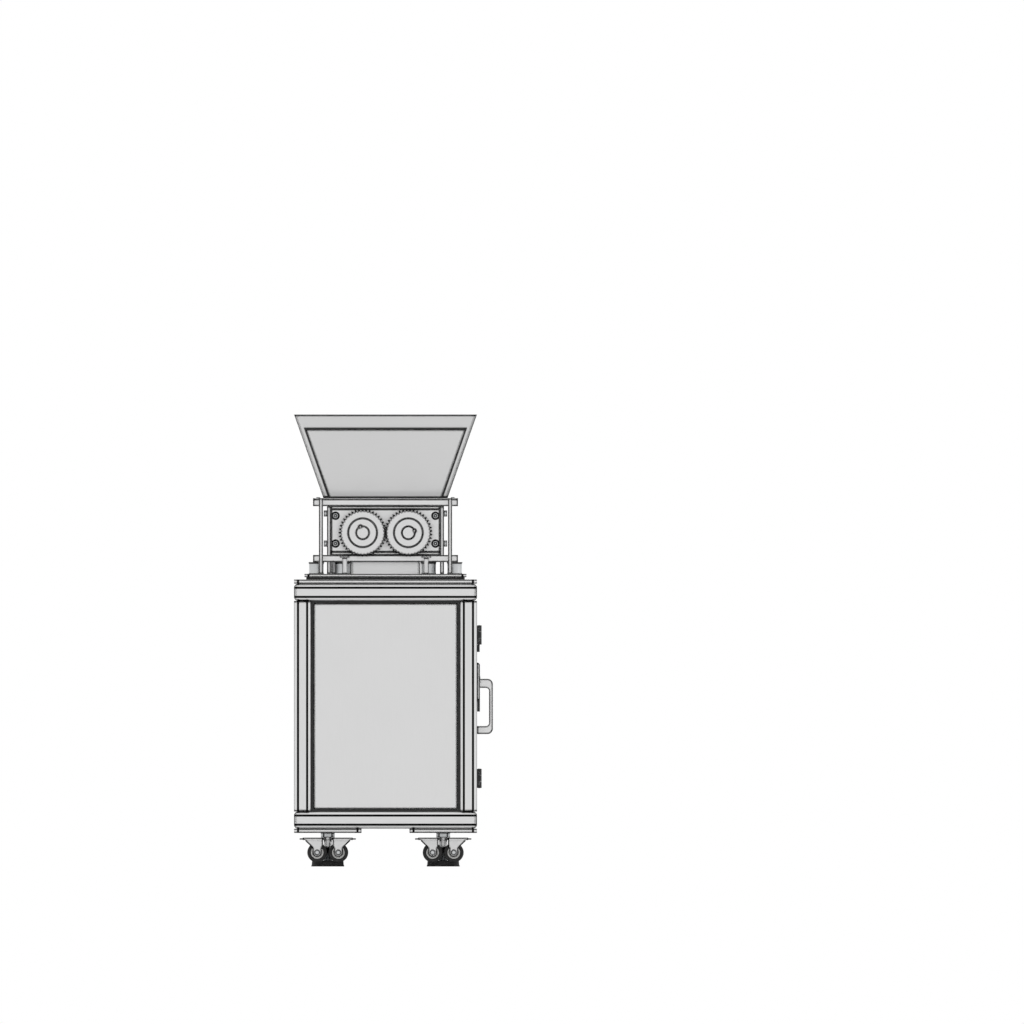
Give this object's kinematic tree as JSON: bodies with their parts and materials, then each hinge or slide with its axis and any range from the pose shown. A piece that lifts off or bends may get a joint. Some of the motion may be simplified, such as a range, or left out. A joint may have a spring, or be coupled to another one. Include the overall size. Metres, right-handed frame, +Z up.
{
  "type": "grain mill",
  "caption": "Two-roller grain mill with a square hopper and meshing gears on a square-tube cabinet with a hinged door and levelling casters.",
  "frame": {"origin": "middle of the overall footprint, on the floor under the levelling feet", "axes": "+Z up, the gear end faces -Y, the cabinet door faces +X"},
  "size_m": [0.442, 0.6096, 1.0038],
  "materials": {
    "frame_steel": "satin ground tube",
    "panel_steel": "brushed sheet",
    "plate_steel": "fine ground plate",
    "hopper_steel": "brushed sheet",
    "black_rubber": "matt",
    "grey_rubber": "matt",
    "black_plastic": "fine grain",
    "hinge_black": "fine grain glass-filled nylon",
    "bolt_steel": "zinc plated",
    "cast_housing": "machined",
    "gear_steel": "turned and hobbed",
    "shaft_steel": "ground",
    "roller_steel": "fluted and hardened",
    "motor_paint": "semi-gloss enamel",
    "fork_zinc": "zinc plated",
    "foot_rubber": "matt",
    "wheel_tyre": "matt"
  },
  "bodies": {
    "cabinet": {"frame_posts": "frame_steel", "frame_rails": "frame_steel", "side_panels": "panel_steel", "panel_gaskets": "black_rubber", "cabinet_floor": "panel_steel", "table_plate": "plate_steel", "base_sheet": "grey_rubber", "base_plate": "plate_steel", "door_stop": "black_rubber", "door_magnet": "black_plastic", "hinge_frame_leaves": "hinge_black", "hinge_pins": "bolt_steel", "caster_plates": "frame_steel", "vibration_mounts": "grey_rubber", "head_frames": "plate_steel", "frame_strips": "plate_steel", "side_plates": "plate_steel", "end_plates": "plate_steel", "tie_rods": "bolt_steel", "head_bolts": "bolt_steel", "guard_posts": "plate_steel", "hold_down_studs": "bolt_steel", "roller_bearings": "cast_housing", "feed_guides": "panel_steel", "discharge_chute": "panel_steel", "hopper": "hopper_steel", "hopper_panel": "hopper_steel", "motor_bracket": "plate_steel", "gearmotor": "motor_paint", "junction_box": "motor_paint", "cable_gland": "black_plastic"},
    "door": {"door_panel": "panel_steel", "door_handle": "plate_steel", "latch_plate": "plate_steel", "hinge_door_leaves": "hinge_black"},
    "paddle": {"latch_paddle": "black_plastic"},
    "drive_roller": {"drive_roller": "roller_steel", "drive_shaft": "shaft_steel", "drive_gear": "gear_steel", "shaft_coupling": "cast_housing"},
    "driven_roller": {"driven_roller": "roller_steel", "driven_shaft": "shaft_steel", "driven_gear": "gear_steel"},
    "fork_1": {"caster_fork_1": "fork_zinc"},
    "foot_1": {"level_foot_1": "foot_rubber"},
    "wheels_1_left": {"caster_wheels_1_left": "wheel_tyre"},
    "wheels_1_right": {"caster_wheels_1_right": "wheel_tyre"},
    "fork_2": {"caster_fork_2": "fork_zinc"},
    "foot_2": {"level_foot_2": "foot_rubber"},
    "wheels_2_left": {"caster_wheels_2_left": "wheel_tyre"},
    "wheels_2_right": {"caster_wheels_2_right": "wheel_tyre"},
    "fork_3": {"caster_fork_3": "fork_zinc"},
    "foot_3": {"level_foot_3": "foot_rubber"},
    "wheels_3_left": {"caster_wheels_3_left": "wheel_tyre"},
    "wheels_3_right": {"caster_wheels_3_right": "wheel_tyre"},
    "fork_4": {"caster_fork_4": "fork_zinc"},
    "foot_4": {"level_foot_4": "foot_rubber"},
    "wheels_4_left": {"caster_wheels_4_left": "wheel_tyre"},
    "wheels_4_right": {"caster_wheels_4_right": "wheel_tyre"}
  },
  "joints": [
    {"name": "door_hinge", "type": "hinge", "parent": "cabinet", "child": "door", "pos_m": [0.19065, 0.2667, 0.35], "axis": [0, 0, 1], "range_deg": [0, 115]},
    {"name": "latch_paddle_hinge", "type": "hinge", "parent": "door", "child": "paddle", "pos_m": [0.18885, -0.2502, 0.3666], "axis": [0, -1, 0], "range_deg": [0, 40], "stiffness_Nm_per_rad": 0.4},
    {"name": "drive_roller_spin", "type": "hinge", "parent": "cabinet", "child": "drive_roller", "pos_m": [-0.06855, -0.123, 0.7412], "axis": [0, 1, 0], "continuous": true},
    {"name": "driven_roller_spin", "type": "hinge", "parent": "cabinet", "child": "driven_roller", "pos_m": [0.03305, -0.123, 0.7412], "axis": [0, 1, 0], "continuous": true},
    {"name": "caster_swivel_1", "type": "hinge", "parent": "cabinet", "child": "fork_1", "pos_m": [-0.14595, -0.2298, 0.0694], "axis": [0, 0, 1], "continuous": true},
    {"name": "foot_screw_1", "type": "slide", "parent": "fork_1", "child": "foot_1", "axis": [0, 0, 1], "range_m": [0, 0.01]},
    {"name": "wheel_spin_1_left", "type": "hinge", "parent": "fork_1", "child": "wheels_1_left", "pos_m": [-0.16945, -0.2298, 0.0311], "axis": [0, 1, 0], "continuous": true},
    {"name": "wheel_spin_1_right", "type": "hinge", "parent": "fork_1", "child": "wheels_1_right", "pos_m": [-0.12245, -0.2298, 0.0311], "axis": [0, 1, 0], "continuous": true},
    {"name": "caster_swivel_2", "type": "hinge", "parent": "cabinet", "child": "fork_2", "pos_m": [0.11045, -0.2298, 0.0694], "axis": [0, 0, 1], "continuous": true},
    {"name": "foot_screw_2", "type": "slide", "parent": "fork_2", "child": "foot_2", "axis": [0, 0, 1], "range_m": [0, 0.01]},
    {"name": "wheel_spin_2_left", "type": "hinge", "parent": "fork_2", "child": "wheels_2_left", "pos_m": [0.08695, -0.2298, 0.0311], "axis": [0, 1, 0], "continuous": true},
    {"name": "wheel_spin_2_right", "type": "hinge", "parent": "fork_2", "child": "wheels_2_right", "pos_m": [0.13395, -0.2298, 0.0311], "axis": [0, 1, 0], "continuous": true},
    {"name": "caster_swivel_3", "type": "hinge", "parent": "cabinet", "child": "fork_3", "pos_m": [0.11045, 0.2298, 0.0694], "axis": [0, 0, 1], "continuous": true},
    {"name": "foot_screw_3", "type": "slide", "parent": "fork_3", "child": "foot_3", "axis": [0, 0, 1], "range_m": [0, 0.01]},
    {"name": "wheel_spin_3_left", "type": "hinge", "parent": "fork_3", "child": "wheels_3_left", "pos_m": [0.08695, 0.2298, 0.0311], "axis": [0, 1, 0], "continuous": true},
    {"name": "wheel_spin_3_right", "type": "hinge", "parent": "fork_3", "child": "wheels_3_right", "pos_m": [0.13395, 0.2298, 0.0311], "axis": [0, 1, 0], "continuous": true},
    {"name": "caster_swivel_4", "type": "hinge", "parent": "cabinet", "child": "fork_4", "pos_m": [-0.14595, 0.2298, 0.0694], "axis": [0, 0, 1], "continuous": true},
    {"name": "foot_screw_4", "type": "slide", "parent": "fork_4", "child": "foot_4", "axis": [0, 0, 1], "range_m": [0, 0.01]},
    {"name": "wheel_spin_4_left", "type": "hinge", "parent": "fork_4", "child": "wheels_4_left", "pos_m": [-0.16945, 0.2298, 0.0311], "axis": [0, 1, 0], "continuous": true},
    {"name": "wheel_spin_4_right", "type": "hinge", "parent": "fork_4", "child": "wheels_4_right", "pos_m": [-0.12245, 0.2298, 0.0311], "axis": [0, 1, 0], "continuous": true}
  ],
  "couplings": [
    {"joint": "driven_roller_spin", "follows": "drive_roller_spin", "ratio": -1}
  ]
}
